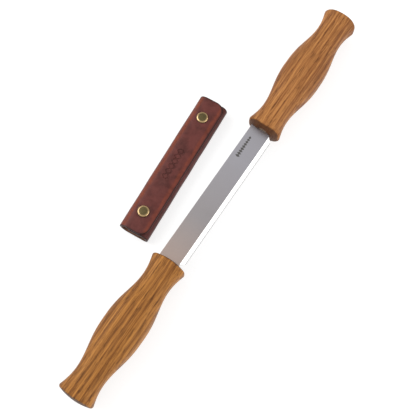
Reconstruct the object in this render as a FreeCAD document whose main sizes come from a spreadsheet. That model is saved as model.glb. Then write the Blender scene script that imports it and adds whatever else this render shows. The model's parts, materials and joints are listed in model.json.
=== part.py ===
"""Drawknife with two oak grips and its folded leather sheath.

Frame: millimetres, +Z up, everything stands on z = 0.  +X runs along the knife, the cutting edge
faces -Y and the sheath lies on the +Y side, behind the spine.  The origin is the bottom centre of
the box around the whole set.  Every size is a cell of the sheet named "sizes".
"""
import FreeCAD, Part
import math
import os
import Sketcher
from FreeCAD import Placement, Rotation, Vector

doc = FreeCAD.newDocument("drawknife")

# ---------------------------------------------------------------- driving dimensions
SIZES = {
    # knife, lengths along X
    "exposed_blade": 112.0,        # steel between the two grips, tip of crown to tip of crown
    "grip_length": 109.0,          # crown to crown
    "outer_neck_at": 18.5,         # from the outer tip of a grip
    "belly_off_middle": 0.5,       # from the middle of a grip towards its outer tip
    "inner_neck_back": 18.5,       # from the inner tip of a grip
    # grip widths, across Y
    "outer_flare_width": 27.7,
    "outer_neck_width": 20.4,
    "belly_width": 29.1,
    "inner_neck_width": 20.4,
    "inner_flare_width": 27.2,
    "belly_height": 27.0,          # sets how much flatter than wide every section is
    "loft_swell": 0.16,            # how far the loft passes the belly's own section
    "outer_shoulder_at": 0.40,     # share of the way from the outer tip to the outer neck
    "outer_shoulder_rise": 0.38,   # share of the way from the neck's width to the flare's
    "outer_slope_rise": 0.61,      # the same halfway to the belly
    "inner_slope_rise": 0.64,
    "inner_shoulder_at": 0.60,     # share of the way from the inner neck to the inner tip
    "inner_shoulder_rise": 0.40,
    "corner_share": 0.36,          # corner radius of a section, as a share of its width
    "end_crown": 2.5,              # how far each end bulges
    "rim_round": 1.8,
    "crown_reach": 0.8,            # how far the crown's cutter reaches, as a share of the flare
    "cutter_margin": 3.0,          # how far a cutter stands out of the piece it cuts
    # blade
    "blade_thickness": 2.8,
    "spine_from_axis": 9.0,
    "bevel_from_axis": 6.3,        # where the bevel starts, on the edge side
    "edge_from_axis": 9.3,
    "hone_from_axis": 8.6,         # where the steeper honed strip starts
    "hone_height": 0.9,            # of that line above the underside
    "edge_land": 0.12,             # what is left of the thickness at the edge
    "edge_setback": 3.8,           # how far the ends of the edge stop short of the grips
    "edge_slant": 3.0,             # run of the clipped corner along X
    "tang_width": 6.6,
    "tang_tip_width": 4.6,
    "tang_length": 60.0,
    "seat_depth": 5.0,             # how deep the end of the blade is let into a grip
    "seat_clearance": 0.12,
    "bore_diameter": 7.4,
    "bore_past_tang": 3.0,
    "bedding_below_tip": 1.0,      # the epoxy stops this far inside the grip's inner tip
    # sheath
    "sheath_length": 111.5,
    "sheath_width": 22.0,
    "leather": 1.6,
    "pocket_gap": 5.2,             # clear height for the blade
    "snap_gap": 2.4,               # clear height between inner panel and flap
    "flap_setback": 2.0,           # the flap's free edge stops this far short of the near fold
    "flap_corner": 7.0,
    "inner_panel_past_snap": 5.0,   # from the snaps to the inner panel's free edge
    "inner_corner": 3.0,
    "sheath_x": 2.5,               # centre of the sheath from the centre of the knife
    "sheath_y": 38.0,
    "sheath_turn": 4.0,            # degrees about Z
    # snap fasteners
    "snap_spacing": 80.5,
    "snap_offset": 0.7,            # from the sheath's centre line towards the far fold
    "cap_radius": 4.3,
    "cap_rise": 1.3,
    "cap_crown": 0.15,             # rise of the nearly flat middle of the cap
    "cap_flat_radius": 3.1,
    "cap_shoulder_radius": 1.3,    # the rolled shoulder between the middle and the rim
    "cap_rim": 0.25,
    "post_radius": 1.4,
    "post_lip_radius": 1.85,
    "sheet_metal": 0.4,            # flange thickness of the snap pieces
    "lip_metal": 0.25,
    "socket_radius": 3.7,
    "socket_barrel_radius": 3.0,
    "socket_depth": 1.7,
    "mouth_clearance": 0.6,        # the knob leaves the socket on an arc
    "mouth_depth": 0.45,
    "groove_depth": 0.3,
    "spring_wire": 0.22,           # radius of the ring's wire
    "spring_play": 0.06,
    "knob_radius": 1.7,
    "knob_neck_radius": 1.45,
    "knob_neck_rise": 0.25,
    "knob_slope": 0.25,
    "knob_round": 0.3,
    "knob_rise": 1.4,              # knob top above the inner panel
    "flange_radius": 3.6,
    "eyelet_radius": 1.1,
    "eyelet_hole_radius": 0.75,
    "eyelet_curl": 0.15,
    "rivet_clearance": 0.05,
}

# sizes that follow from the ones above
DERIVED = {
    "half_knife": "exposed_blade / 2 + grip_length",
    "belly_at": "grip_length / 2 - belly_off_middle",
    "inner_neck_at": "grip_length - inner_neck_back",
    "flatness": "belly_height / belly_width",
    "axis_height": "belly_height / 2 + loft_swell",
    "set_depth": "belly_width / 2 + sheath_y + sheath_width / 2 * cos(sheath_turn * 1deg)"
                 " + sheath_length / 2 * sin(sheath_turn * 1deg)",
    "knife_y": "belly_width / 2 - set_depth / 2",
    "bore_radius": "bore_diameter / 2",
    "bore_depth": "tang_length + seat_depth + bore_past_tang",
    "half_length": "sheath_length / 2",
    "near_edge": "-sheath_width / 2",
    "far_edge": "sheath_width / 2",
    "near_radius": "pocket_gap / 2 + leather",
    "inner_top": "pocket_gap + 2 * leather",
    "inner_under": "pocket_gap + leather",
    "flap_under": "inner_top + snap_gap",
    "flap_top": "flap_under + leather",
    "far_radius": "flap_top / 2",
    "rivet_hole": "eyelet_radius + rivet_clearance",
    "post_hole": "post_radius + rivet_clearance",
    "mouth_radius": "knob_radius + mouth_clearance",
    "socket_under": "flap_under - socket_depth",
    "web_under": "flap_under - sheet_metal",
    "ledge": "socket_under + mouth_depth",
    "groove_radius": "mouth_radius + groove_depth",
    "knob_top": "inner_top + knob_rise",
    "flange_top": "inner_top + sheet_metal",
    "recess": "sheet_metal",
    "inner_panel_edge": "snap_offset + inner_panel_past_snap",
}

sheet = doc.addObject("Spreadsheet::Sheet", "sizes")
row = 0
for alias, number in SIZES.items():
    row += 1
    sheet.set("A%d" % row, alias)
    sheet.set("B%d" % row, str(number))
    sheet.setAlias("B%d" % row, alias)
for alias, formula in DERIVED.items():
    row += 1
    sheet.set("A%d" % row, alias)
    sheet.set("B%d" % row, "=" + formula)
    sheet.setAlias("B%d" % row, alias)
doc.recompute()

NAMES = sorted(list(SIZES) + list(DERIVED), key=len, reverse=True)


def bound(text):
    """Put the sheet's name before every alias, so an expression outside the sheet finds it."""
    words = []
    word = ""
    for letter in text + " ":
        if letter.isalnum() or letter == "_":
            word += letter
        else:
            words.append("sizes." + word if word in NAMES else word)
            words.append(letter)
            word = ""
    return "".join(words).strip()


def number(text):
    """The present value of an expression in the sheet's aliases."""
    found = sheet.evalExpression(bound(text))
    return float(getattr(found, "Value", found))


# ---------------------------------------------------------------- sketch and body helpers
def new_body(name):
    body = doc.addObject("PartDesign::Body", name)
    body.Label = name
    return body


def new_sketch(body, name, role, offset=None):
    """A sketch on one of the body's own origin planes, moved along the plane's normal."""
    sketch = body.newObject("Sketcher::SketchObject", body.Name + "_" + name)
    plane = [f for f in body.Origin.OriginFeatures if f.Role == role][0]
    sketch.AttachmentSupport = [(plane, "")]
    sketch.MapMode = "FlatFace"
    if offset:
        sketch.setExpression("AttachmentOffset.Base.z", bound(offset))
    return sketch


def pin(sketch, edge, end, x_text, y_text):
    """Fix one end of an edge at coordinates given as expressions."""
    for kind, text in (("DistanceX", x_text), ("DistanceY", y_text)):
        index = sketch.addConstraint(Sketcher.Constraint(kind, -1, 1, edge, end, number(text)))
        sketch.setExpression("Constraints[%d]" % index, bound(text))


def outline(sketch, corners):
    """Closed outline.  Each corner is (x, y) or (x, y, radius, side): the last two make the edge
    to the next corner an arc of that radius, side +1 or -1 of the straight line between them."""
    count = len(corners)
    spots = [Vector(number(c[0]), number(c[1]), 0) for c in corners]
    for i, corner in enumerate(corners):
        start, end = spots[i], spots[(i + 1) % count]
        if len(corner) == 2:
            sketch.addGeometry(Part.LineSegment(start, end), False)
            continue
        radius = number(corner[2])
        chord = end - start
        across = Vector(-chord.y, chord.x, 0).normalize() * corner[3]
        middle = (start + end) * 0.5
        sag = radius - math.sqrt(max(radius ** 2 - (chord.Length / 2) ** 2, 0.0))
        sketch.addGeometry(Part.Arc(start, middle + across * sag, end), False)
    for i, corner in enumerate(corners):
        following = (i + 1) % count
        sketch.addConstraint(Sketcher.Constraint("Coincident", i, end_of(sketch, i, spots[following]),
                                                 following, end_of(sketch, following, spots[following])))
        pin(sketch, i, end_of(sketch, i, spots[i]), corner[0], corner[1])
        if len(corner) > 2:
            index = sketch.addConstraint(Sketcher.Constraint("Radius", i, number(corner[2])))
            sketch.setExpression("Constraints[%d]" % index, bound(corner[2]))


def end_of(sketch, edge, spot):
    """1 or 2: which end of an edge lies at the spot."""
    return 1 if sketch.getPoint(edge, 1).distanceToPoint(spot) < 1e-6 else 2


def circles(sketch, spots, radius):
    for x_text, y_text in spots:
        centre = Vector(number(x_text), number(y_text), 0)
        edge = sketch.addGeometry(Part.Circle(centre, Vector(0, 0, 1), number(radius)), False)
        pin(sketch, edge, 3, x_text, y_text)
        index = sketch.addConstraint(Sketcher.Constraint("Radius", edge, number(radius)))
        sketch.setExpression("Constraints[%d]" % index, bound(radius))


def pad(body, sketch, length, both_ways=True):
    feature = body.newObject("PartDesign::Pad", sketch.Name + "_pad")
    feature.Profile = sketch
    feature.setExpression("Length", bound(length))
    feature.Midplane = both_ways
    sketch.Visibility = False
    doc.recompute()
    return feature


def cut(body, sketch, depth, reverse=False, both_ways=False):
    """Pocket that must take something away."""
    before = body.Shape.Volume
    feature = body.newObject("PartDesign::Pocket", sketch.Name + "_cut")
    feature.Profile = sketch
    feature.setExpression("Length", bound(depth))
    feature.Midplane = both_ways
    feature.Reversed = reverse
    doc.recompute()
    if body.Shape.Volume > before - 1e-6:
        raise ValueError(feature.Name + " cuts nothing")
    return feature


def spin(body, sketch):
    """Revolution about the sketch's upright axis."""
    feature = body.newObject("PartDesign::Revolution", sketch.Name + "_spin")
    feature.Profile = sketch
    feature.ReferenceAxis = (sketch, ["V_Axis"])
    feature.Angle = 360
    doc.recompute()
    return feature


def place(body, x_text, y_text, z_text, turn):
    body.Placement = Placement(Vector(0, 0, 0), Rotation(Vector(0, 0, 1), turn))
    for axis, text in (("x", x_text), ("y", y_text), ("z", z_text)):
        body.setExpression("Placement.Base." + axis, bound(text))


# ---------------------------------------------------------------- blade
def make_blade():
    body = new_body("blade")
    root = "(exposed_blade / 2 + seat_depth)"
    tip = "(exposed_blade / 2 + seat_depth + tang_length)"
    clip = "(exposed_blade / 2 - edge_setback + edge_slant)"
    half = [(root, "spine_from_axis"), (root, "tang_width / 2"), (tip, "tang_tip_width / 2"),
            (tip, "-tang_tip_width / 2"), (root, "-tang_width / 2"), (root, "-bevel_from_axis"),
            (clip, "-bevel_from_axis"), ("(exposed_blade / 2 - edge_setback)", "-edge_from_axis")]
    corners = half + [("-" + x, y) for x, y in reversed(half)]
    sketch = new_sketch(body, "outline", "XY_Plane")
    outline(sketch, corners)
    pad(body, sketch, "blade_thickness")

    bevel = new_sketch(body, "bevel", "YZ_Plane")
    outline(bevel, [("-bevel_from_axis", "blade_thickness / 2"),
                    ("-hone_from_axis", "hone_height - blade_thickness / 2"),
                    ("-edge_from_axis", "edge_land - blade_thickness / 2"),
                    ("-edge_from_axis - cutter_margin", "edge_land - blade_thickness / 2"),
                    ("-edge_from_axis - cutter_margin", "blade_thickness / 2 + cutter_margin"),
                    ("-bevel_from_axis", "blade_thickness / 2 + cutter_margin")])
    cut(body, bevel, "exposed_blade + 2 * seat_depth + 2 * cutter_margin", both_ways=True)
    place(body, "0", "knife_y", "axis_height", 0)
    return body


# ---------------------------------------------------------------- grips
def section(body, name, at, width):
    """Rounded rectangle across the grip, flatter than it is wide."""
    sketch = new_sketch(body, name, "YZ_Plane", at)
    half_w = "(" + width + ") / 2"
    half_h = "(" + width + ") * flatness / 2"
    radius = "(" + width + ") * corner_share"
    signs = [(1, 1), (-1, 1), (-1, -1), (1, -1)]
    corners = []
    for sign_y, sign_z in signs:
        side = "%d * (%s)" % (sign_y, half_w)
        top = "%d * (%s)" % (sign_z, half_h)
        side_in = "%d * (%s - %s)" % (sign_y, half_w, radius)
        top_in = "%d * (%s - %s)" % (sign_z, half_h, radius)
        if sign_y * sign_z > 0:
            corners += [(side, top_in, radius, -1), (side_in, top)]
        else:
            corners += [(side_in, top, radius, -1), (side, top_in)]
    outline(sketch, corners)
    sketch.Visibility = False
    return sketch


def make_grip(name, turn, x_text):
    body = new_body(name)
    stations = [
        ("0", "outer_flare_width"),
        ("outer_neck_at * outer_shoulder_at",
         "outer_neck_width + (outer_flare_width - outer_neck_width) * outer_shoulder_rise"),
        ("outer_neck_at", "outer_neck_width"),
        ("(outer_neck_at + belly_at) / 2",
         "outer_neck_width + (belly_width - outer_neck_width) * outer_slope_rise"),
        ("belly_at", "belly_width"),
        ("(inner_neck_at + belly_at) / 2",
         "inner_neck_width + (belly_width - inner_neck_width) * inner_slope_rise"),
        ("inner_neck_at", "inner_neck_width"),
        ("inner_neck_at + (grip_length - inner_neck_at) * inner_shoulder_at",
         "inner_neck_width + (inner_flare_width - inner_neck_width) * inner_shoulder_rise"),
        ("grip_length", "inner_flare_width"),
    ]
    sections = [section(body, "s%d" % i, at, width) for i, (at, width) in enumerate(stations)]
    doc.recompute()
    loft = body.newObject("PartDesign::AdditiveLoft", name + "_loft")
    loft.Profile = sections[0]
    loft.Sections = sections[1:]
    doc.recompute()
    bore = new_sketch(body, "bore", "YZ_Plane", "grip_length")
    circles(bore, [("0", "0")], "bore_radius")
    cut(body, bore, "bore_depth")
    crown_ends(body)
    low, high = "-bevel_from_axis", "spine_from_axis"
    if turn != 0:
        low, high = "-spine_from_axis", "bevel_from_axis"
    half_slot = "blade_thickness / 2 + seat_clearance"
    seat = new_sketch(body, "seat", "YZ_Plane", "grip_length")
    outline(seat, [(low + " - seat_clearance", "-(%s)" % half_slot),
                   (high + " + seat_clearance", "-(%s)" % half_slot),
                   (high + " + seat_clearance", half_slot),
                   (low + " - seat_clearance", half_slot)])
    cut(body, seat, "seat_depth")
    place(body, x_text, "knife_y", "axis_height", turn)
    return body


def crown_ends(body):
    """Turn both ends to a shallow crown and round the rims."""
    for name, tip, inward, width in (("outer_end", "0", 1, "outer_flare_width"),
                                     ("inner_end", "grip_length", -1, "inner_flare_width")):
        sketch = new_sketch(body, name, "XY_Plane")
        reach = "(%s * crown_reach)" % width
        radius = "(((%s) / 2) ^ 2 + end_crown ^ 2) / (2 * end_crown)" % width
        drop = "(%s) - sqrt((%s) ^ 2 - %s ^ 2)" % (radius, radius, reach)
        far = "%s + %d * (%s)" % (tip, inward, drop)
        outside = "%s - %d * cutter_margin" % (tip, inward)
        side = -1 if inward > 0 else 1
        outline(sketch, [(tip, "0", radius, -side), (far, reach), (outside, reach), (outside, "0")])
        before = body.Shape.Volume
        feature = body.newObject("PartDesign::Groove", sketch.Name + "_turn")
        feature.Profile = sketch
        feature.ReferenceAxis = (sketch, ["H_Axis"])
        feature.Angle = 360
        doc.recompute()
        if body.Shape.Volume > before - 1e-6:
            raise ValueError(feature.Name + " cuts nothing")
        round_rim(body, sketch.Name + "_rim", tip)


def round_rim(body, name, tip):
    """Round the rim of the crown at one end."""
    crown = [face for face in body.Shape.Faces if isinstance(face.Surface, Part.Sphere)
             and abs(face.CenterOfMass.x - number(tip)) < number("end_crown")][0]
    rim = []
    for i, edge in enumerate(body.Shape.Edges):
        on_crown = any(edge.isSame(other) for other in crown.Edges)
        if on_crown and not edge.isSeam(crown) and not edge.Degenerated:
            rim.append("Edge%d" % (i + 1))
    base = body.Tip
    fillet = body.newObject("PartDesign::Fillet", name)
    fillet.Base = (base, rim)
    fillet.setExpression("Radius", bound("rim_round"))
    doc.recompute()


def make_bedding(name, turn, x_text):
    """Cured epoxy that fills the bore around a tang."""
    body = new_body(name)
    disc = new_sketch(body, "disc", "YZ_Plane")
    circles(disc, [("0", "0")], "bore_radius")
    pad(body, disc, "bore_depth - bedding_below_tip", both_ways=False)
    neck = "bore_past_tang + tang_length"
    slot = new_sketch(body, "slot", "XY_Plane")
    outline(slot, [("bore_past_tang", "tang_tip_width / 2"),
                   ("bore_past_tang", "-tang_tip_width / 2"),
                   (neck, "-tang_width / 2"),
                   (neck, "-bore_diameter"),
                   ("bore_depth", "-bore_diameter"),
                   ("bore_depth", "bore_diameter"),
                   (neck, "bore_diameter"),
                   (neck, "tang_width / 2")])
    cut(body, slot, "blade_thickness", both_ways=True)
    place(body, x_text, "knife_y", "axis_height", turn)
    return body


# ---------------------------------------------------------------- sheath leather
def make_back():
    """Bottom panel with the lower half of both folds."""
    body = new_body("sheath_back")
    sketch = new_sketch(body, "profile", "YZ_Plane")
    outline(sketch, [
        ("near_edge + near_radius", "0"),
        ("far_edge - far_radius", "0", "far_radius", -1),
        ("far_edge", "far_radius"),
        ("far_edge - leather", "far_radius", "far_radius - leather", 1),
        ("far_edge - far_radius", "leather"),
        ("near_edge + near_radius", "leather", "near_radius - leather", 1),
        ("near_edge + leather", "near_radius"),
        ("near_edge", "near_radius", "near_radius", -1)])
    pad(body, sketch, "sheath_length")
    return body


def make_inner_panel():
    """Panel over the cutting edge's side of the blade, with the upper half of the near fold."""
    body = new_body("sheath_inner_panel")
    sketch = new_sketch(body, "profile", "YZ_Plane")
    outline(sketch, [
        ("near_edge", "near_radius"),
        ("near_edge + leather", "near_radius", "near_radius - leather", 1),
        ("near_edge + near_radius", "inner_under"),
        ("inner_panel_edge", "inner_under"),
        ("inner_panel_edge", "inner_top"),
        ("near_edge + near_radius", "inner_top", "near_radius", -1)])
    pad(body, sketch, "sheath_length")
    round_corners(body, "inner_panel_edge", "inner_corner")
    holes = new_sketch(body, "holes", "XY_Plane", "inner_under")
    circles(holes, snap_spots(), "rivet_hole")
    cut(body, holes, "leather", reverse=True)
    recess = new_sketch(body, "recess", "XY_Plane", "inner_under")
    circles(recess, snap_spots(), "flange_radius + rivet_clearance")
    cut(body, recess, "recess", reverse=True)
    return body


def make_flap():
    """Outer flap with the upper half of the far fold."""
    body = new_body("sheath_flap")
    sketch = new_sketch(body, "profile", "YZ_Plane")
    outline(sketch, [
        ("far_edge", "far_radius", "far_radius", -1),
        ("far_edge - far_radius", "flap_top"),
        ("near_edge + flap_setback", "flap_top"),
        ("near_edge + flap_setback", "flap_under"),
        ("far_edge - far_radius", "flap_under", "far_radius - leather", 1),
        ("far_edge - leather", "far_radius")])
    pad(body, sketch, "sheath_length")
    round_corners(body, "near_edge + flap_setback", "flap_corner")
    holes = new_sketch(body, "holes", "XY_Plane", "flap_under")
    circles(holes, snap_spots(), "post_hole")
    cut(body, holes, "leather", reverse=True)
    return body


def snap_spots():
    return [("-snap_spacing / 2", "snap_offset"), ("snap_spacing / 2", "snap_offset")]


def round_corners(body, edge_y, radius):
    """Round the two upright corners of a panel's free edge."""
    corners = []
    for i, edge in enumerate(body.Shape.Edges):
        box = edge.BoundBox
        upright = box.ZLength > 0.1 and box.XLength < 1e-6 and box.YLength < 1e-6
        if upright and abs(box.YMin - number(edge_y)) < 1e-6:
            corners.append("Edge%d" % (i + 1))
    base = body.Tip
    fillet = body.newObject("PartDesign::Fillet", body.Name + "_corners")
    fillet.Base = (base, corners)
    fillet.setExpression("Radius", bound(radius))
    doc.recompute()


# ---------------------------------------------------------------- snap fasteners
def make_cap(name):
    body = new_body(name)
    sketch = new_sketch(body, "profile", "XZ_Plane")
    dome = "(cap_flat_radius ^ 2 + cap_crown ^ 2) / (2 * cap_crown)"
    outline(sketch, [
        ("0", "flap_top + cap_rise", dome, 1),
        ("cap_flat_radius", "flap_top + cap_rise - cap_crown", "cap_shoulder_radius", 1),
        ("cap_radius", "flap_top + cap_rim"),
        ("cap_radius", "flap_top"),
        ("post_radius", "flap_top"),
        ("post_radius", "web_under"),
        ("post_lip_radius", "web_under"),
        ("post_lip_radius", "web_under - lip_metal"),
        ("0", "web_under - lip_metal")])
    spin(body, sketch)
    return body


def make_socket(name):
    body = new_body(name)
    sketch = new_sketch(body, "profile", "XZ_Plane")
    outline(sketch, [
        ("post_hole", "flap_under"),
        ("socket_radius", "flap_under"),
        ("socket_radius", "web_under"),
        ("socket_barrel_radius", "web_under"),
        ("socket_barrel_radius", "socket_under"),
        ("mouth_radius", "socket_under"),
        ("mouth_radius", "ledge"),
        ("groove_radius", "ledge"),
        ("groove_radius", "web_under"),
        ("post_hole", "web_under")])
    spin(body, sketch)
    return body


def make_spring(name):
    """Wire ring that rests on the socket's ledge."""
    ring = doc.addObject("Part::Torus", name)
    ring.Label = name
    ring.setExpression("Radius1", bound("groove_radius - spring_play - spring_wire"))
    ring.setExpression("Radius2", bound("spring_wire"))
    doc.recompute()
    return ring


def make_stud(name):
    body = new_body(name)
    sketch = new_sketch(body, "profile", "XZ_Plane")
    outline(sketch, [
        ("rivet_hole", "inner_top"),
        ("flange_radius", "inner_top"),
        ("flange_radius", "flange_top"),
        ("knob_neck_radius", "flange_top"),
        ("knob_neck_radius", "flange_top + knob_neck_rise"),
        ("knob_radius", "flange_top + knob_neck_rise + knob_slope"),
        ("knob_radius", "knob_top - knob_round"),
        ("knob_radius - knob_round", "knob_top"),
        ("rivet_hole", "knob_top")])
    spin(body, sketch)
    return body


def make_eyelet(name):
    body = new_body(name)
    sketch = new_sketch(body, "profile", "XZ_Plane")
    outline(sketch, [
        ("eyelet_hole_radius", "inner_under"),
        ("flange_radius", "inner_under"),
        ("flange_radius", "inner_under + recess"),
        ("eyelet_radius", "inner_under + recess"),
        ("eyelet_radius", "knob_top"),
        ("knob_radius - knob_round", "knob_top"),
        ("knob_radius - knob_round", "knob_top + eyelet_curl"),
        ("eyelet_hole_radius", "knob_top + eyelet_curl")])
    spin(body, sketch)
    return body


def lay_sheath(body, along="0", across="0", height="0"):
    """Place a sheath piece: the sheath's centre line is turned and moved beside the knife."""
    place(body,
          "sheath_x + (%s) * cos(sheath_turn * 1deg) - (%s) * sin(sheath_turn * 1deg)" % (along, across),
          "knife_y + sheath_y + (%s) * sin(sheath_turn * 1deg) + (%s) * cos(sheath_turn * 1deg)"
          % (along, across),
          height, SIZES["sheath_turn"])


# ---------------------------------------------------------------- build everything
pieces = [make_blade()]
for side, turn, sign in (("left", 0, "-"), ("right", 180, "")):
    pieces.append(make_grip(side + "_grip", turn, sign + "half_knife"))
    start = "exposed_blade / 2 + seat_depth + tang_length + bore_past_tang"
    pieces.append(make_bedding(side + "_tang_bedding", turn, "%s(%s)" % (sign, start)))

for panel in (make_back(), make_inner_panel(), make_flap()):
    lay_sheath(panel)
    pieces.append(panel)
for side, sign in (("left", "-"), ("right", "")):
    for make, kind in ((make_cap, "cap"), (make_socket, "socket"), (make_stud, "stud"),
                       (make_eyelet, "eyelet")):
        piece = make("snap_%s_%s" % (kind, side))
        lay_sheath(piece, sign + "snap_spacing / 2", "snap_offset")
        pieces.append(piece)
    ring = make_spring("snap_spring_" + side)
    lay_sheath(ring, sign + "snap_spacing / 2", "snap_offset", "ledge + spring_wire")
    pieces.append(ring)
doc.recompute()

# ---------------------------------------------------------------- check and write
for thing in doc.Objects:
    if "Invalid" in thing.State or "Error" in thing.State:
        raise ValueError("%s is %s" % (thing.Name, thing.State))
for piece in pieces:
    if piece.Shape.isNull() or not piece.Shape.isValid() or len(piece.Shape.Solids) != 1:
        raise ValueError(piece.Label + " has no single valid solid")
os.makedirs("parts", exist_ok=True)
for piece in pieces:
    piece.Shape.exportStep("parts/%s.step" % piece.Label)
    box = piece.Shape.BoundBox
    print("%-22s volume %9.1f mm3  x %7.1f..%7.1f  y %6.1f..%6.1f  z %5.2f..%5.2f" % (
        piece.Label, piece.Shape.Volume, box.XMin, box.XMax, box.YMin, box.YMax, box.ZMin, box.ZMax))
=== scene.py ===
# %% [markdown]
# # A straight drawknife and its leather sheath
# A drawknife is pulled along green wood with both hands. Two oak grips stand in line with one flat steel bar,
# and a folded leather sheath with two snaps covers the edge when the knife is put away.
# The solid model comes from the CAD step and is loaded first, as a fixed frame. Blender then gives every
# surface its finish, and makes the soft leather again as the bent, grained hide that it is.

# %% Load the frame
import json
import math
import bmesh
import bpy
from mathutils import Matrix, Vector, noise


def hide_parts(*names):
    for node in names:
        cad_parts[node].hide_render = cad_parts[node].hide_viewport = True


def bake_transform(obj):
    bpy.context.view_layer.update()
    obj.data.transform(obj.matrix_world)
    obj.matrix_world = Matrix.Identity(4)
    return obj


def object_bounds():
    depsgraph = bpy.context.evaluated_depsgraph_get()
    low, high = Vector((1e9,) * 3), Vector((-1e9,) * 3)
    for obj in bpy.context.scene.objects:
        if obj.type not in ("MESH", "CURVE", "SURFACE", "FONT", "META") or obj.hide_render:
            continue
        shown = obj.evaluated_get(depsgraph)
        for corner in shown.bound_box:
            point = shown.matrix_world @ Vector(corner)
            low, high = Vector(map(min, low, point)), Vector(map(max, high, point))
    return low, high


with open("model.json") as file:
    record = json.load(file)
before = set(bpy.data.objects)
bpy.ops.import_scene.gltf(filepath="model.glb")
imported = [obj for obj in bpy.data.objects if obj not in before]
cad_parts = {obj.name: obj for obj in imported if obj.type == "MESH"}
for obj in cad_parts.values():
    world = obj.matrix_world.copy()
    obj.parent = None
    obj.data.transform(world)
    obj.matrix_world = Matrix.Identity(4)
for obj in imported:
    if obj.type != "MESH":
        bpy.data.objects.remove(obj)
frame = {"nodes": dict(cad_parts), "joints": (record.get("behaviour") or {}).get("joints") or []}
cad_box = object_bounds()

MM = 0.001

# %% [markdown]
# ## Two helpers
# Colours are picked as sRGB hex values, the way a swatch is written down, and Blender's sockets want linear
# light, so one function turns one into the other. A second one adds a shader node with its settings, its
# values and its links in one line, which keeps a material readable from top to bottom.

# %% Colour and node helpers
def rgb(swatch):
    """Linear colour of an sRGB hex swatch."""
    parts = [int(swatch[i:i + 2], 16) / 255 for i in (1, 3, 5)]
    return tuple(c / 12.92 if c <= 0.04045 else ((c + 0.055) / 1.055) ** 2.4 for c in parts) + (1.0,)


def add(tree, kind, inputs=None, **settings):
    """Adds a node. An input is a number, a colour, a vector, a node (its first output) or a socket."""
    node = tree.nodes.new("ShaderNode" + kind)
    for name, value in settings.items():
        setattr(node, name, value)
    for name, value in (inputs or {}).items():
        if hasattr(value, "outputs"):
            value = value.outputs[0]
        if isinstance(value, bpy.types.NodeSocket):
            tree.links.new(value, node.inputs[name])
        else:
            node.inputs[name].default_value = value
    return node


def new_material(name):
    """A material with an output and nothing else, and its node tree."""
    material = bpy.data.materials.new(name)
    material.use_nodes = True
    material.node_tree.nodes.clear()
    return material, material.node_tree


def finish_material(material, surface):
    """Links the surface to the output, which is the last node of every material here."""
    add(material.node_tree, "OutputMaterial", {"Surface": surface})
    print(material.name, "has", len(material.node_tree.nodes), "nodes")


print("oak swatch in linear light:", [round(c, 3) for c in rgb("#95683A")[:3]])

# %% [markdown]
# ## Camera
# The set lies on a table and is seen from above, leaning a little towards one end, through a long lens, so
# the grips keep their true lengths. The camera is given by what it looks at, how far it stands back, how far
# it leans from straight down and how the picture is turned on the table.

# %% Camera
TARGET = Vector((-12.0, -20.8, 14.0)) * MM
STAND_BACK = 526.8 * MM
LEAN = math.radians(17.66)
PICTURE_TURN = math.radians(-56.18)
LENS = 66.24

camera_data = bpy.data.cameras.new("camera")
camera_data.lens = LENS
camera_data.sensor_width = 36.0
camera = bpy.data.objects.new("camera", camera_data)
camera.rotation_euler = (LEAN, 0.0, PICTURE_TURN)
looking = camera.rotation_euler.to_matrix() @ Vector((0.0, 0.0, -1.0))
camera.location = TARGET - looking * STAND_BACK
bpy.context.scene.collection.objects.link(camera)
bpy.context.scene.camera = camera
print("camera at", [round(c, 3) for c in camera.location])

# %% [markdown]
# ## Table and light
# A product table: an opal sheet lit from below, so that shadows are washed out until only a faint one is left
# where things touch it, a bright sky of diffusers all round, one large soft light behind the sheath and a white
# card low in front of the edge. The card is what makes the bevel flash white while the flat beside it stays
# grey. Colours are shown straight, with no film curve, so the sheet stays white.

# %% Table and light
SHEET = "#A2A2A2"
SHEET_GLOW = 0.74
ZENITH = 0.78
HORIZON = 0.50
bpy.ops.object.select_all(action="DESELECT")
bpy.ops.mesh.primitive_plane_add(size=60.0, location=(0.0, 0.0, cad_box[0].z))
table_top = bpy.context.active_object
table_top.name = "table_top"
opal, tree = new_material("opal_sheet_lit_from_below")
finish_material(opal, add(tree, "BsdfPrincipled", {"Base Color": rgb(SHEET), "Roughness": 0.9,
                                                   "Specular IOR Level": 0.1, "Emission Color": rgb("#FFFFFF"),
                                                   "Emission Strength": SHEET_GLOW}))
table_top.data.materials.append(opal)

world = bpy.data.worlds.new("diffusers")
world.use_nodes = True
world.node_tree.nodes.clear()
# the diffusers hang overhead and stop short of the table, so the sky is dark low down and draws the rims
upwards = add(world.node_tree, "SeparateXYZ", {0: add(world.node_tree, "TexCoord").outputs["Generated"]})
rise = add(world.node_tree, "MapRange", {"Value": upwards.outputs["Z"], "From Min": 0.15, "From Max": 0.75,
                                         "To Min": HORIZON, "To Max": ZENITH})
sky = add(world.node_tree, "Background", {"Color": rgb("#FFFFFF"), "Strength": rise})
add(world.node_tree, "OutputWorld", {"Surface": sky})
bpy.context.scene.world = world


def area_light(name, towards, distance, width, height, radiance):
    """A soft box that looks at the target; its power follows from how bright its face is."""
    data = bpy.data.lights.new(name, "AREA")
    data.shape = "RECTANGLE"
    data.size = width
    data.size_y = height
    data.energy = radiance * math.pi * width * height
    light = bpy.data.objects.new(name, data)
    direction = Vector(towards).normalized()
    light.location = TARGET + direction * distance
    light.rotation_euler = direction.to_track_quat("Z", "Y").to_euler()
    bpy.context.scene.collection.objects.link(light)


area_light("soft_box", (-0.15, 0.75, 0.75), 0.95, 0.8, 0.6, 3.4)
area_light("white_card", (0.25, -0.86, 0.46), 0.7, 0.9, 0.3, 2.2)
bpy.context.scene.view_settings.view_transform = "Standard"

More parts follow.
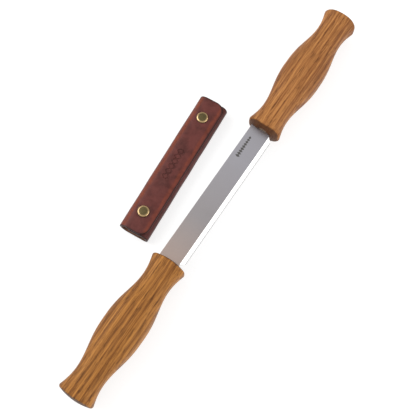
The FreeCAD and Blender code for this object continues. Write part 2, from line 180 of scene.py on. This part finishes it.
# %% [markdown]
# ## Blade steel
# The bar is carbon steel. Its flat was ground on a belt and left satin, its bevel was honed and polished, and
# a small mark was etched beside the spine. One material does all three: the place on the bar, read from Object
# coordinates, says which finish a point has. The mark here is a plain row of lozenges.

# %% Blade steel
BEVEL_LINE = -25.46 * MM
HONE_LINE = -27.76 * MM
MARK_MIDDLE = Vector((39.5, -14.7, 0.0)) * MM
MARK_PITCH = 2.0 * MM
MARK_COUNT = 9
GRIND_LINE = 0.5 * MM

steel, tree = new_material("carbon_steel_satin_ground")
spot = add(tree, "TexCoord").outputs["Object"]
axes = add(tree, "SeparateXYZ", {0: spot})
on_bevel = add(tree, "MapRange", {"Value": axes.outputs["Y"], "From Min": BEVEL_LINE + 0.1 * MM,
                                  "From Max": BEVEL_LINE - 0.1 * MM})
on_hone = add(tree, "MapRange", {"Value": axes.outputs["Y"], "From Min": HONE_LINE + 0.1 * MM,
                                 "From Max": HONE_LINE - 0.1 * MM})
# belt lines run across the bar, finer than the eye parts from this far, so they are drawn wider, half a
# millimetre apart
across = add(tree, "Mapping", {"Vector": spot, "Scale": (1.0, 0.03, 0.03)})
grind = add(tree, "TexNoise", {"Vector": across, "Scale": 1 / GRIND_LINE, "Detail": 3.0, "Roughness": 0.6})
cloud = add(tree, "TexNoise", {"Vector": spot, "Scale": 1 / (25 * MM), "Detail": 2.0})
along = add(tree, "Math", {0: axes.outputs["X"], 1: MARK_MIDDLE.x}, operation="SUBTRACT")
beside = add(tree, "Math", {0: axes.outputs["Y"], 1: MARK_MIDDLE.y}, operation="SUBTRACT")
beat = add(tree, "Math", {0: add(tree, "Math", {0: along, 1: MARK_PITCH / 2}, operation="ADD"),
                          1: MARK_PITCH / 2}, operation="PINGPONG")
# the lozenges dwindle towards the grip
dwindle = add(tree, "MapRange", {"Value": along, "From Min": -9 * MM, "From Max": 9 * MM, "To Min": 1.7,
                                 "To Max": 0.8})
step = add(tree, "Math", {0: beat, 1: dwindle}, operation="MULTIPLY")
height = add(tree, "Math", {0: beside}, operation="ABSOLUTE")
lozenge = add(tree, "Math", {0: step, 1: height}, operation="SUBTRACT")
drawn = add(tree, "MapRange", {"Value": lozenge, "From Min": -0.35 * MM, "From Max": 0.0})
reach = add(tree, "Math", {0: along}, operation="ABSOLUTE")
within = add(tree, "Math", {0: reach, 1: MARK_PITCH * MARK_COUNT / 2}, operation="LESS_THAN")
mark = add(tree, "Math", {0: drawn, 1: within}, operation="MULTIPLY")
# a painted reflection tints the flat, warm at one end and bluish at the other
warm = add(tree, "MapRange", {"Value": axes.outputs["X"], "From Min": -20 * MM, "From Max": -56 * MM})
cool = add(tree, "MapRange", {"Value": axes.outputs["X"], "From Min": -15 * MM, "From Max": 30 * MM})
painted_reflection_tint = add(tree, "Mix", {0: cool, 6: rgb("#A39E9F"), 7: rgb("#AFADB3")}, data_type="RGBA").outputs[2]
painted_reflection_tint = add(tree, "Mix", {0: warm, 6: painted_reflection_tint, 7: rgb("#B3A097")}, data_type="RGBA").outputs[2]
clouded = add(tree, "MapRange", {"Value": cloud, "From Min": 0.3, "From Max": 0.7, "To Max": 0.12})
flat_tone = add(tree, "Mix", {0: clouded, 6: painted_reflection_tint, 7: rgb("#8E898A")}, data_type="RGBA").outputs[2]
tone = add(tree, "Mix", {0: on_bevel, 6: flat_tone, 7: rgb("#DAD8D6")}, data_type="RGBA").outputs[2]
# the honed strip along the edge gets a greyer tone, a painted dark reflection
tone = add(tree, "Mix", {0: on_hone, 6: tone, 7: rgb("#C9C8C8")}, data_type="RGBA").outputs[2]
etched = add(tree, "Mix", {0: mark, 6: tone, 7: rgb("#646260")}, data_type="RGBA").outputs[2]
satin = add(tree, "MapRange", {"Value": grind, "To Min": 0.30, "To Max": 0.42})
polish = add(tree, "Mix", {0: on_bevel, 2: satin, 3: 0.14})
polish = add(tree, "Mix", {0: on_hone, 2: polish, 3: 0.5})
lines = add(tree, "Bump", {"Height": grind, "Strength": 0.12, "Distance": 0.02 * MM})
finish_material(steel, add(tree, "BsdfPrincipled", {"Base Color": etched, "Metallic": 1.0, "Roughness": polish,
                                                   "Normal": lines}))
frame["nodes"]["blade"].material_slots[0].material = steel

# %% [markdown]
# ## Oak
# The grips are shaped and sanded from quarter-sawn oak and rubbed with oil. Oak shows growth rings a few
# millimetres wide, and along them open pores, thin dark lines that run with the axis of the grip and turn into
# dots on its ends.
# A solid pattern does this without any unwrapping: rings about a far pith, and noise drawn out along the
# length. The finest lines are drawn a millimetre wide, coarser than real pores, so that they are still seen
# from the camera. Each grip came from another part of the board, so each gets its own pith and tone.

# %% Oak
RING_WIDTH = 4.2 * MM
PORE_WIDTH = 0.8 * MM
STREAK_WIDTH = 1.15 * MM


def oak(name, pith, light, middle, dark, drift):
    """Oiled oak, its grain along X and its rings about a pith given in millimetres from the grip's axis."""
    material, tree = new_material(name)
    coords = add(tree, "TexCoord")
    spot = coords.outputs["Object"]
    board = add(tree, "Mapping", {"Vector": spot, "Location": Vector(pith) * MM, "Scale": (0.04, 1.0, 1.0)})
    rings = add(tree, "TexWave", {"Vector": board, "Scale": 2 * math.pi / (20 * RING_WIDTH), "Distortion": 1.3,
                                  "Detail": 3.0, "Detail Scale": 0.6, "Detail Roughness": 0.6,
                                  "Phase Offset": drift}, wave_type="RINGS", rings_direction="X",
                wave_profile="SAW")
    long_way = add(tree, "Mapping", {"Vector": spot, "Location": (drift, drift, 0.0),
                                     "Scale": (0.02, 1.0, 0.2)})
    streaks = add(tree, "TexNoise", {"Vector": long_way, "Scale": 1 / STREAK_WIDTH, "Detail": 5.0,
                                     "Roughness": 0.7})
    short_way = add(tree, "Mapping", {"Vector": spot, "Location": (0.0, drift, drift),
                                      "Scale": (0.09, 1.0, 0.6)})
    pores = add(tree, "TexNoise", {"Vector": short_way, "Scale": 1 / PORE_WIDTH, "Detail": 2.0,
                                   "Roughness": 0.6})
    broad = add(tree, "TexNoise", {"Vector": long_way, "Scale": 1 / (8 * MM), "Detail": 2.0, "Distortion": 0.4})
    ring_tone = add(tree, "MapRange", {"Value": rings, "From Min": 0.2, "From Max": 1.0, "To Max": 0.55})
    streak_tone = add(tree, "MapRange", {"Value": streaks, "From Min": 0.40, "From Max": 0.60, "To Max": 0.75})
    broad_tone = add(tree, "MapRange", {"Value": broad, "From Min": 0.38, "From Max": 0.62, "To Min": -0.2,
                                        "To Max": 0.2})
    blend = add(tree, "Math", {0: ring_tone, 1: streak_tone}, operation="ADD")
    blend = add(tree, "Math", {0: blend, 1: broad_tone}, operation="ADD", use_clamp=True)
    wood = add(tree, "Mix", {0: blend, 6: rgb(light), 7: rgb(middle)}, data_type="RGBA").outputs[2]
    line = add(tree, "MapRange", {"Value": pores, "From Min": 0.50, "From Max": 0.68})
    early = add(tree, "MapRange", {"Value": rings, "From Min": 0.3, "From Max": 0.9, "To Min": 0.35,
                                   "To Max": 0.7})
    pore = add(tree, "Math", {0: line, 1: early}, operation="MULTIPLY")
    # end grain drinks more oil and goes darker, and the faces across the grain are darkened further as painted
    # shade
    facing = add(tree, "SeparateXYZ", {0: coords.outputs["Normal"]})
    facing = add(tree, "Math", {0: facing.outputs["X"]}, operation="ABSOLUTE")
    end_grain_and_painted_shade = add(tree, "MapRange", {"Value": facing, "From Min": 0.7, "From Max": 0.95, "To Max": 0.85})
    shade = add(tree, "Math", {0: pore, 1: end_grain_and_painted_shade}, operation="MAXIMUM")
    grain = add(tree, "Mix", {0: shade, 6: wood, 7: rgb(dark)}, data_type="RGBA").outputs[2]
    sheen = add(tree, "MapRange", {"Value": streaks, "To Min": 0.42, "To Max": 0.6})
    relief = add(tree, "Math", {0: 1.0, 1: pore}, operation="SUBTRACT")
    feel = add(tree, "Bump", {"Height": relief, "Strength": 0.3, "Distance": 0.08 * MM})
    finish_material(material, add(tree, "BsdfPrincipled", {"Base Color": grain, "Roughness": sheen, "IOR": 1.45,
                                                           "Specular IOR Level": 0.18, "Normal": feel}))
    return material


frame["nodes"]["left_grip"].material_slots[0].material = oak(
    "oak_quarter_sawn_oiled_left", (0.0, 60.0, -13.0), "#B57A3B", "#7C4D24", "#432712", 0.3)
frame["nodes"]["right_grip"].material_slots[0].material = oak(
    "oak_quarter_sawn_oiled_right", (0.0, 54.0, -8.0), "#BC8149", "#84512B", "#4A2A17", 1.7)

# %% [markdown]
# ## Bedding, brass and spring wire
# The tangs stand in cured epoxy, which only shows as a thin clear line at the slot. The snaps are brass that
# was darkened in a bath and then tumbled, so it is brown, with a painted highlight ring on each cap's shoulder
# and painted shade at its rim against the leather. The ring in each socket is drawn spring wire.

# %% Bedding
epoxy, tree = new_material("epoxy_poured_and_cured")
spot = add(tree, "TexCoord").outputs["Object"]
bubbles = add(tree, "TexVoronoi", {"Vector": spot, "Scale": 1 / (1.5 * MM)})
pit = add(tree, "MapRange", {"Value": bubbles.outputs["Distance"], "From Max": 0.25})
amber = add(tree, "Mix", {0: pit, 6: rgb("#5C4526"), 7: rgb("#7A5C35")}, data_type="RGBA").outputs[2]
finish_material(epoxy, add(tree, "BsdfPrincipled", {"Base Color": amber, "Roughness": 0.25, "IOR": 1.55}))
for side in ("left", "right"):
    frame["nodes"][side + "_tang_bedding"].material_slots[0].material = epoxy

# %% Antique brass
cap_middles = []
for side in ("left", "right"):
    corners = [Vector(c) for c in frame["nodes"]["snap_cap_" + side].bound_box]
    cap_middles.append(sum(corners, Vector()) / 8)

brass, tree = new_material("brass_antiqued_with_painted_highlight_and_shade")
spot = add(tree, "TexCoord").outputs["Object"]
stain = add(tree, "TexNoise", {"Vector": spot, "Scale": 1 / (0.8 * MM), "Detail": 4.0, "Roughness": 0.6})
level = add(tree, "Mapping", {"Vector": spot, "Scale": (1.0, 1.0, 0.0)})
away = []
for middle in cap_middles:
    gap = add(tree, "VectorMath", {0: level, 1: (middle.x, middle.y, 0.0)}, operation="DISTANCE")
    away.append(gap.outputs["Value"])
from_middle = add(tree, "Math", {0: away[0], 1: away[1]}, operation="MINIMUM")
shaken = add(tree, "Math", {0: stain, 1: 0.7 * MM, 2: from_middle}, operation="MULTIPLY_ADD")
# a painted highlight ring lies on the shoulder of each cap while its middle keeps the dark bath, and painted
# shade darkens the rim against the leather
wear_and_highlight = add(tree, "MapRange", {"Value": shaken, "From Min": 3.1 * MM, "From Max": 3.9 * MM})
painted_rim_shade = add(tree, "MapRange", {"Value": shaken, "From Min": 4.35 * MM, "From Max": 4.6 * MM})
patch = add(tree, "MapRange", {"Value": stain, "From Min": 0.35, "From Max": 0.65})
bath = add(tree, "Mix", {0: patch, 6: rgb("#564C34"), 7: rgb("#6A5E40")}, data_type="RGBA").outputs[2]
coat = add(tree, "Mix", {0: wear_and_highlight, 6: bath, 7: rgb("#C4A67A")}, data_type="RGBA").outputs[2]
coat = add(tree, "Mix", {0: painted_rim_shade, 6: coat, 7: rgb("#4A3E28")}, data_type="RGBA").outputs[2]
dull = add(tree, "MapRange", {"Value": wear_and_highlight, "To Min": 0.45, "To Max": 0.26})
tumbled = add(tree, "Bump", {"Height": stain, "Strength": 0.3, "Distance": 0.05 * MM})
finish_material(brass, add(tree, "BsdfPrincipled", {"Base Color": coat, "Metallic": 1.0, "Roughness": dull,
                                                    "Normal": tumbled}))
for side in ("left", "right"):
    for piece in ("snap_cap_", "snap_socket_", "snap_stud_", "snap_eyelet_"):
        frame["nodes"][piece + side].material_slots[0].material = brass

# %% Spring wire
wire, tree = new_material("spring_steel_drawn")
spot = add(tree, "TexCoord").outputs["Object"]
die_marks = add(tree, "TexNoise", {"Vector": spot, "Scale": 1 / (0.4 * MM), "Detail": 2.0})
drawn_steel = add(tree, "MapRange", {"Value": die_marks, "To Min": 0.2, "To Max": 0.35})
finish_material(wire, add(tree, "BsdfPrincipled", {"Base Color": rgb("#B9B6B0"), "Metallic": 1.0,
                                                   "Roughness": drawn_steel}))
for side in ("left", "right"):
    frame["nodes"]["snap_spring_" + side].material_slots[0].material = wire

# %% [markdown]
# ## Leather: where it is bent
# The sheath is one strip of waxed cowhide, 1.6 mm thick, folded twice: a wide bend along the far side that
# carries the flap over the top, and a tighter one along the near side whose short panel holds the studs.
# The hinges of the CAD model lie along those bends, so the bends' places are read from its joints. The leather
# is built flat along X about the sheath's own middle, which is easier to shape, and turned into place last.

# %% Places of the two bends
joints = {j["name"]: j for j in frame["joints"]}
far_bend = Vector(joints["flap_hinge"]["pos_m"])
near_bend = Vector(joints["inner_panel_hinge"]["pos_m"])
SHEATH_MIDDLE = Vector(((far_bend.x + near_bend.x) / 2, (far_bend.y + near_bend.y) / 2, 0.0))
SHEATH_TURN = math.atan2(joints["inner_panel_hinge"]["axis"][1], joints["inner_panel_hinge"]["axis"][0])
HALF_WIDTH = (far_bend - near_bend).to_2d().length / 2
HALF_LENGTH = 111.5 / 2 * MM
HIDE = 1.6 * MM
FAR_R = far_bend.z
NEAR_R = near_bend.z
FAR_Y = HALF_WIDTH - FAR_R
NEAR_Y = NEAR_R - HALF_WIDTH
FLAP_END = -HALF_WIDTH + 1.3 * MM
PANEL_END = 5.7 * MM
ROWS_ALONG = 30
ROWS_ACROSS = 9
SEAM = NEAR_Y + 2.0 * MM
SNAP_X = 80.5 / 2 * MM
SNAP_Y = 0.7 * MM
FLAP_CORNER = 7.0 * MM
PANEL_CORNER = 3.0 * MM
print("sheath turned", round(math.degrees(SHEATH_TURN), 2), "degrees, bends of radius",
      round(FAR_R / MM, 2), "and", round(NEAR_R / MM, 2), "mm")

# %% [markdown]
# ## Leather: the finishes
# Pull-up leather is stuffed with wax and oil. Where it is bent the wax moves and the hide turns lighter and
# more orange, its cut edges are rubbed dark and shiny, and its inner side, the flesh side, is paler and rough.
# The pattern must follow the hide round its bends and stay on it when it is opened, so it reads an attribute
# of the mesh named "hide": the distances along and across the flat strip, and how far the nearest cut edge is.

# %% Grain side
GRAIN = 0.7 * MM
SCAR = 9.0 * MM
FAR_BAND = FAR_Y + math.pi * FAR_R - 4.2 * MM
STRIP_END = FAR_Y + math.pi * FAR_R + FAR_Y - FLAP_END
MARK_HALF = 12.5 * MM
STRAND_PITCH = 8.33 * MM
STRAND_SWING = 2.1 * MM
MARK_ACROSS = FAR_Y + math.pi * FAR_R + FAR_Y - SNAP_Y

leather, tree = new_material("cowhide_waxed_pull_up")
hide = add(tree, "Attribute", attribute_name="hide").outputs["Vector"]
part = add(tree, "SeparateXYZ", {0: hide})
flat = add(tree, "Mapping", {"Vector": hide, "Scale": (1.0, 1.0, 0.0)})
along_hide = add(tree, "Mapping", {"Vector": hide, "Scale": (0.25, 1.0, 0.0)})
pebble = add(tree, "TexVoronoi", {"Vector": flat, "Scale": 1 / GRAIN, "Randomness": 0.9},
             feature="SMOOTH_F1")
mottle = add(tree, "TexNoise", {"Vector": flat, "Scale": 1 / (3.5 * MM), "Detail": 5.0, "Roughness": 0.6})
cloud = add(tree, "TexNoise", {"Vector": flat, "Scale": 1 / SCAR, "Detail": 3.0, "Distortion": 0.6})
streak = add(tree, "TexNoise", {"Vector": along_hide, "Scale": 1 / (2.2 * MM), "Detail": 3.0})
dark_red = add(tree, "MapRange", {"Value": cloud, "From Min": 0.35, "From Max": 0.65})
body_tone = add(tree, "Mix", {0: dark_red, 6: rgb("#612E29"), 7: rgb("#4A201B")}, data_type="RGBA").outputs[2]
spots = add(tree, "MapRange", {"Value": mottle, "From Min": 0.45, "From Max": 0.75, "To Max": 0.5})
body_tone = add(tree, "Mix", {0: spots, 6: body_tone, 7: rgb("#6B3A34")}, data_type="RGBA").outputs[2]
wander = add(tree, "MapRange", {"Value": streak, "To Min": -1.4 * MM, "To Max": 1.4 * MM})
bands = []
for middle, half, most in ((FAR_BAND, 2.6 * MM, 0.7), (STRIP_END - 2.2 * MM, 1.5 * MM, 0.45)):
    away = add(tree, "Math", {0: add(tree, "Math", {0: part.outputs["Y"], 1: wander}, operation="ADD"),
                              1: middle}, operation="SUBTRACT")
    away = add(tree, "Math", {0: away}, operation="ABSOLUTE")
    bands.append(add(tree, "MapRange", {"Value": away, "From Min": half * 1.3, "From Max": half * 0.2,
                                        "To Max": most}, interpolation_type="SMOOTHSTEP"))
pulled = add(tree, "Math", {0: bands[0], 1: bands[1]}, operation="MAXIMUM")
patchy = add(tree, "MapRange", {"Value": mottle, "From Min": 0.3, "From Max": 0.6, "To Min": 0.35,
                                "To Max": 0.95})
pulled = add(tree, "Math", {0: pulled, 1: patchy}, operation="MULTIPLY")
tone = add(tree, "Mix", {0: pulled, 6: body_tone, 7: rgb("#873D1E")}, data_type="RGBA").outputs[2]
# the near bend, beyond the flap's free edge, is darkened with painted shade
painted_shade_near_bend = add(tree, "MapRange", {"Value": part.outputs["Y"], "From Min": NEAR_Y, "From Max": NEAR_Y - NEAR_R,
                                 "To Max": 0.25})
tone = add(tree, "Mix", {0: painted_shade_near_bend, 6: tone, 7: rgb("#3E1A14")}, data_type="RGBA").outputs[2]
# the mark pressed into the flap is two strands that cross, with no lettering
turns = add(tree, "Math", {0: part.outputs["X"], 1: 2 * math.pi / STRAND_PITCH}, operation="MULTIPLY")
swing = add(tree, "Math", {0: add(tree, "Math", {0: turns}, operation="SINE"), 1: STRAND_SWING},
            operation="MULTIPLY")
height = add(tree, "Math", {0: part.outputs["Y"], 1: MARK_ACROSS}, operation="SUBTRACT")
strands = []
for way in ("SUBTRACT", "ADD"):
    off = add(tree, "Math", {0: add(tree, "Math", {0: height, 1: swing}, operation=way)}, operation="ABSOLUTE")
    strands.append(add(tree, "MapRange", {"Value": off, "From Min": 0.65 * MM, "From Max": 0.25 * MM}))
pressed = add(tree, "Math", {0: strands[0], 1: strands[1]}, operation="MAXIMUM")
reach = add(tree, "Math", {0: part.outputs["X"]}, operation="ABSOLUTE")
inside = add(tree, "MapRange", {"Value": reach, "From Min": MARK_HALF, "From Max": MARK_HALF - 0.6 * MM})
pressed = add(tree, "Math", {0: pressed, 1: inside}, operation="MULTIPLY")
pressed_dark = add(tree, "Math", {0: pressed, 1: 0.12}, operation="MULTIPLY")
tone = add(tree, "Mix", {0: pressed_dark, 6: tone, 7: rgb("#2E1512")}, data_type="RGBA").outputs[2]
rubbed = add(tree, "MapRange", {"Value": part.outputs["Z"], "From Min": 1.1 * MM, "From Max": 0.2 * MM})
tone = add(tree, "Mix", {0: rubbed, 6: tone, 7: rgb("#2C1411")}, data_type="RGBA").outputs[2]
matt = add(tree, "MapRange", {"Value": mottle, "From Min": 0.3, "From Max": 0.7, "To Min": 0.42, "To Max": 0.58})
skin = add(tree, "Math", {0: pebble, 1: 0.5}, operation="MULTIPLY")
fine_bump = add(tree, "Bump", {"Height": skin, "Strength": 0.35, "Distance": 0.12 * MM})
soft_bump = add(tree, "Bump", {"Height": mottle, "Strength": 0.5, "Distance": 0.25 * MM, "Normal": fine_bump})
stamp = add(tree, "Bump", {"Height": pressed, "Strength": 1.0, "Distance": 0.6 * MM, "Normal": soft_bump},
            invert=True)
finish_material(leather, add(tree, "BsdfPrincipled", {"Base Color": tone, "Roughness": matt, "IOR": 1.45,
                                                     "Specular IOR Level": 0.3, "Normal": stamp}))

# %% Flesh side and cut edge
flesh, tree = new_material("cowhide_flesh_side")
hide = add(tree, "Attribute", attribute_name="hide").outputs["Vector"]
flat = add(tree, "Mapping", {"Vector": hide, "Scale": (1.0, 1.0, 0.0)})
nap = add(tree, "TexNoise", {"Vector": flat, "Scale": 1 / (0.9 * MM), "Detail": 5.0, "Roughness": 0.75})
wear_and_highlight = add(tree, "TexNoise", {"Vector": flat, "Scale": 1 / (8 * MM), "Detail": 2.0})
suede = add(tree, "Mix", {0: nap, 6: rgb("#6E4B39"), 7: rgb("#8C6650")}, data_type="RGBA").outputs[2]
greasy = add(tree, "MapRange", {"Value": wear_and_highlight, "From Min": 0.4, "From Max": 0.7, "To Max": 0.6})
suede = add(tree, "Mix", {0: greasy, 6: suede, 7: rgb("#573628")}, data_type="RGBA").outputs[2]
fuzz = add(tree, "Bump", {"Height": nap, "Strength": 0.6, "Distance": 0.15 * MM})
finish_material(flesh, add(tree, "BsdfPrincipled", {"Base Color": suede, "Roughness": 0.9, "Normal": fuzz,
                                                   "Sheen Weight": 0.25, "Sheen Roughness": 0.5}))

cut_edge, tree = new_material("cowhide_burnished_edge")
hide = add(tree, "Attribute", attribute_name="hide").outputs["Vector"]
layers = add(tree, "TexNoise", {"Vector": hide, "Scale": 1 / (1.1 * MM), "Detail": 4.0})
waxed = add(tree, "Mix", {0: layers, 6: rgb("#24100D"), 7: rgb("#44221A")}, data_type="RGBA").outputs[2]
slick = add(tree, "MapRange", {"Value": layers, "To Min": 0.35, "To Max": 0.6})
ridges = add(tree, "Bump", {"Height": layers, "Strength": 0.3, "Distance": 0.1 * MM})
finish_material(cut_edge, add(tree, "BsdfPrincipled", {"Base Color": waxed, "Roughness": slick, "Normal": ridges,
                                                       "Specular IOR Level": 0.2}))

# %% [markdown]
# ## Leather: the two pieces
# The strip is cut in two where nobody sees it, on the flat underside beside the near bend, because a bent piece
# can only span one hinge. Each half starts as one flat face, its edge is spun round the bend and extruded into
# the panel beyond, corners are rounded by a vertex bevel, and bisect cuts a mesh fine enough to sag. Then the
# hide gets its thickness, holes for the snaps and rounded edges.

# %% Modelling helpers
def choose(obj, wanted):
    """Edit mode: select the vertices that pass a test, and what lies between them."""
    bpy.ops.mesh.select_mode(type="VERT")
    mesh = bmesh.from_edit_mesh(obj.data)
    for vert in mesh.verts:
        vert.select = wanted(vert.co)
    mesh.select_flush_mode()
    bmesh.update_edit_mesh(obj.data)


def flat_face(name, low, high):
    """One face on the table, from a low to a high corner, ready for edit mode."""
    bpy.ops.object.select_all(action="DESELECT")
    middle = (Vector(low) + Vector(high)) / 2
    bpy.ops.mesh.primitive_plane_add(size=1.0, location=middle)
    obj = bpy.context.active_object
    obj.name = name
    obj.data.name = name
    obj.scale = (high[0] - low[0], high[1] - low[1], 1.0)
    bpy.ops.object.transform_apply(location=True, rotation=True, scale=True)
    return obj


def near(a, b):
    return abs(a - b) < 0.01 * MM


def cut_rows(places, direction):
    """Edit mode: cut the whole mesh across at each place along X or Y."""
    for place in places:
        bpy.ops.mesh.select_all(action="SELECT")
        point = (place, 0.0, 0.0) if direction == "X" else (0.0, place, 0.0)
        normal = (1.0, 0.0, 0.0) if direction == "X" else (0.0, 1.0, 0.0)
        bpy.ops.mesh.bisect(plane_co=point, plane_no=normal)


def apply(obj, kind, **settings):
    """Adds a modifier and applies it."""
    bpy.ops.object.select_all(action="DESELECT")
    obj.select_set(True)
    bpy.context.view_layer.objects.active = obj
    modifier = obj.modifiers.new(kind.lower(), kind)
    for name, value in settings.items():
        setattr(modifier, name, value)
    bpy.ops.object.modifier_apply(modifier=modifier.name)


def fold(obj, axis_y, radius, panel_end, corner):
    """Edit mode: spin the open edge half round a bend, extrude the panel beyond and round its corners."""
    way = 1.0 if axis_y > 0 else -1.0
    choose(obj, lambda co: near(co.y, axis_y))
    bpy.ops.mesh.spin(steps=18, angle=-way * math.pi, center=(0.0, axis_y, radius), axis=(1.0, 0.0, 0.0))
    top = max(v.co.z for v in bmesh.from_edit_mesh(obj.data).verts)
    choose(obj, lambda co: near(co.z, top) and near(co.y, axis_y))
    bpy.ops.mesh.extrude_region_move(TRANSFORM_OT_translate={"value": (0.0, panel_end - axis_y, 0.0)})
    choose(obj, lambda co: near(co.y, panel_end) and near(co.z, top))
    bpy.ops.mesh.bevel(offset=corner, offset_type="OFFSET", segments=10, affect="VERTICES")
    print(obj.name, "top at", round(top / MM, 2), "mm")


def edge_distance(x, across, end, corner):
    """How far a point of the flat strip lies inside its ends and the rounded free edge."""
    to_end = abs(end - across)
    out_x, out_y = abs(x) - (HALF_LENGTH - corner), corner - to_end
    if out_x > 0 and out_y > 0:
        return corner - math.hypot(out_x, out_y)
    return min(HALF_LENGTH - abs(x), to_end)


def write_hide(obj, bend_y, radius, panel_end, corner):
    """The attribute that the leather's patterns follow: along, across, and distance from a cut edge."""
    way = 1.0 if bend_y > 0 else -1.0
    end = bend_y + way * (math.pi * radius + way * (bend_y - panel_end))
    values = []
    for vert in obj.data.vertices:
        x, y, z = vert.co
        past = way * (y - bend_y)
        if past > 0:
            across = bend_y + way * radius * math.atan2(past, radius - z)
        elif z > radius:
            across = bend_y + way * (math.pi * radius - past)
        else:
            across = y
        values += [x, across, edge_distance(x, across, end, corner)]
    attribute = obj.data.attributes.new("hide", "FLOAT_VECTOR", "POINT")
    attribute.data.foreach_set("vector", values)


def drill(obj, radius, low, high):
    """Two upright holes through the leather, at the snaps."""
    for x in (-SNAP_X, SNAP_X):
        bpy.ops.object.select_all(action="DESELECT")
        bpy.ops.mesh.primitive_cylinder_add(vertices=48, radius=radius, depth=high - low,
                                            location=(x, SNAP_Y, (low + high) / 2))
        drill_bit = bpy.context.active_object
        apply(obj, "BOOLEAN", object=drill_bit, operation="DIFFERENCE", solver="EXACT")
        bpy.data.objects.remove(drill_bit)


def settle(obj, move):
    """Object mode: moves every point by what the function gives for its place."""
    for vert in obj.data.vertices:
        vert.co += move(vert.co)
    obj.data.update()


def finish_hide(obj):
    """Face outwards, then thickness, rounded cut edges and the leather's three finishes."""
    for material in (leather, flesh, cut_edge):
        obj.data.materials.append(material)
    bpy.ops.object.mode_set(mode="EDIT")
    bpy.ops.mesh.select_all(action="SELECT")
    bpy.ops.mesh.normals_make_consistent(inside=False)
    bpy.ops.object.mode_set(mode="OBJECT")
    lowest = min(obj.data.polygons, key=lambda p: p.center.z)
    if lowest.normal.z > 0:
        obj.data.flip_normals()
    apply(obj, "SOLIDIFY", thickness=HIDE, offset=-1.0, use_even_offset=True, material_offset=1,
          material_offset_rim=2)
    apply(obj, "BEVEL", width=0.35 * MM, segments=3, limit_method="ANGLE", angle_limit=math.radians(50))
    bpy.ops.object.shade_smooth_by_angle(angle=math.radians(40))


def turn_into_place(obj):
    """From the sheath's own middle to its place beside the knife, all in the mesh."""
    obj.rotation_euler = (0.0, 0.0, SHEATH_TURN)
    obj.location = SHEATH_MIDDLE
    bpy.ops.object.select_all(action="DESELECT")
    obj.select_set(True)
    bpy.context.view_layer.objects.active = obj
    bpy.ops.object.transform_apply(location=True, rotation=True, scale=True)
    print(obj.name, len(obj.data.vertices), "points,", len(obj.data.polygons), "faces")


# %% Flap half
SWELL = 0.2 * MM
SKEW = 0.7 * MM
DROOP = 0.8 * MM
POST_HOLE = 1.45 * MM


def ease(value):
    """0 below 0, 1 above 1, smooth between."""
    value = min(max(value, 0.0), 1.0)
    return value * value * (3.0 - 2.0 * value)


def snap_away(co):
    return min(math.hypot(co.x - x, co.y - SNAP_Y) for x in (-SNAP_X, SNAP_X))


def flap_rests(co):
    """The flap sinks to its free edge, swells round each cap, and lies a little askew at one end."""
    above = ease((co.z - FAR_R) / FAR_R)
    sink = DROOP * min(max((-2.5 * MM - co.y) / (6.5 * MM), 0.0), 1.0) ** 2
    ring = 0.16 * MM * math.exp(-((snap_away(co) - 6.2 * MM) / (1.8 * MM)) ** 2)
    calm = 1.0 - math.exp(-(snap_away(co) / (6.5 * MM)) ** 2)
    wave = SWELL * noise.noise(Vector((co.x / (16 * MM), co.y / (9 * MM), co.z / (9 * MM)))) * calm
    side = wave * ease((co.y - FAR_Y) / (3 * MM)) * ease(co.z / (4 * MM))
    askew = -SKEW * max(co.x / HALF_LENGTH, 0.0) * ease((-3.0 * MM - co.y) / (4.0 * MM))
    return Vector((0.0, side + above * askew, above * (ring + wave - sink)))


flap = flat_face("leather_flap_and_back", (-HALF_LENGTH, SEAM, 0.0), (HALF_LENGTH, FAR_Y, 0.0))
bpy.ops.object.mode_set(mode="EDIT")
fold(flap, FAR_Y, FAR_R, FLAP_END, FLAP_CORNER)
cut_rows([HALF_LENGTH * i / ROWS_ALONG for i in range(1 - ROWS_ALONG, ROWS_ALONG)], "X")
cut_rows([FLAP_END + (FAR_Y - FLAP_END) * i / ROWS_ACROSS for i in range(1, ROWS_ACROSS)], "Y")
bpy.ops.object.mode_set(mode="OBJECT")
settle(flap, flap_rests)
finish_hide(flap)
drill(flap, POST_HOLE, 2 * FAR_R - 2.2 * MM, 2 * FAR_R + 1.0 * MM)
write_hide(flap, FAR_Y, FAR_R, FLAP_END, FLAP_CORNER)
turn_into_place(flap)
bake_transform(flap)
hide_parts("sheath_back", "sheath_flap")

# %% Stud half
LIFT = 1.7 * MM
RIVET_HOLE = 1.15 * MM
FLANGE_RECESS = 3.65 * MM


def panel_rests(co):
    """The near bend stands up until the flap lies on it, and the panel sinks from there to the studs."""
    above = ease((co.z - 0.4 * NEAR_R) / (1.6 * NEAR_R))
    down_to_studs = ease((-3.3 * MM - co.y) / (3.4 * MM))
    wave = 0.12 * MM * noise.noise(Vector((co.x / (13 * MM), co.y / (7 * MM), co.z / (7 * MM))))
    side = wave * ease((NEAR_Y - co.y) / (2 * MM)) * ease(co.z / (3 * MM))
    return Vector((0.0, side, above * LIFT * down_to_studs))


panel = flat_face("leather_near_bend_and_panel", (-HALF_LENGTH, NEAR_Y, 0.0), (HALF_LENGTH, SEAM, 0.0))
bpy.ops.object.mode_set(mode="EDIT")
fold(panel, NEAR_Y, NEAR_R, PANEL_END, PANEL_CORNER)
cut_rows([HALF_LENGTH * i / ROWS_ALONG for i in range(1 - ROWS_ALONG, ROWS_ALONG)], "X")
cut_rows([NEAR_Y + (PANEL_END - NEAR_Y) * i / ROWS_ACROSS for i in range(1, ROWS_ACROSS)], "Y")
bpy.ops.object.mode_set(mode="OBJECT")
settle(panel, panel_rests)
finish_hide(panel)
drill(panel, RIVET_HOLE, 2 * NEAR_R - 2.2 * MM, 2 * NEAR_R + 0.6 * MM)
drill(panel, FLANGE_RECESS, 2 * NEAR_R - 2.6 * MM, 2 * NEAR_R - 1.2 * MM)
write_hide(panel, NEAR_Y, NEAR_R, PANEL_END, PANEL_CORNER)
turn_into_place(panel)
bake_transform(panel)
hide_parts("sheath_inner_panel")
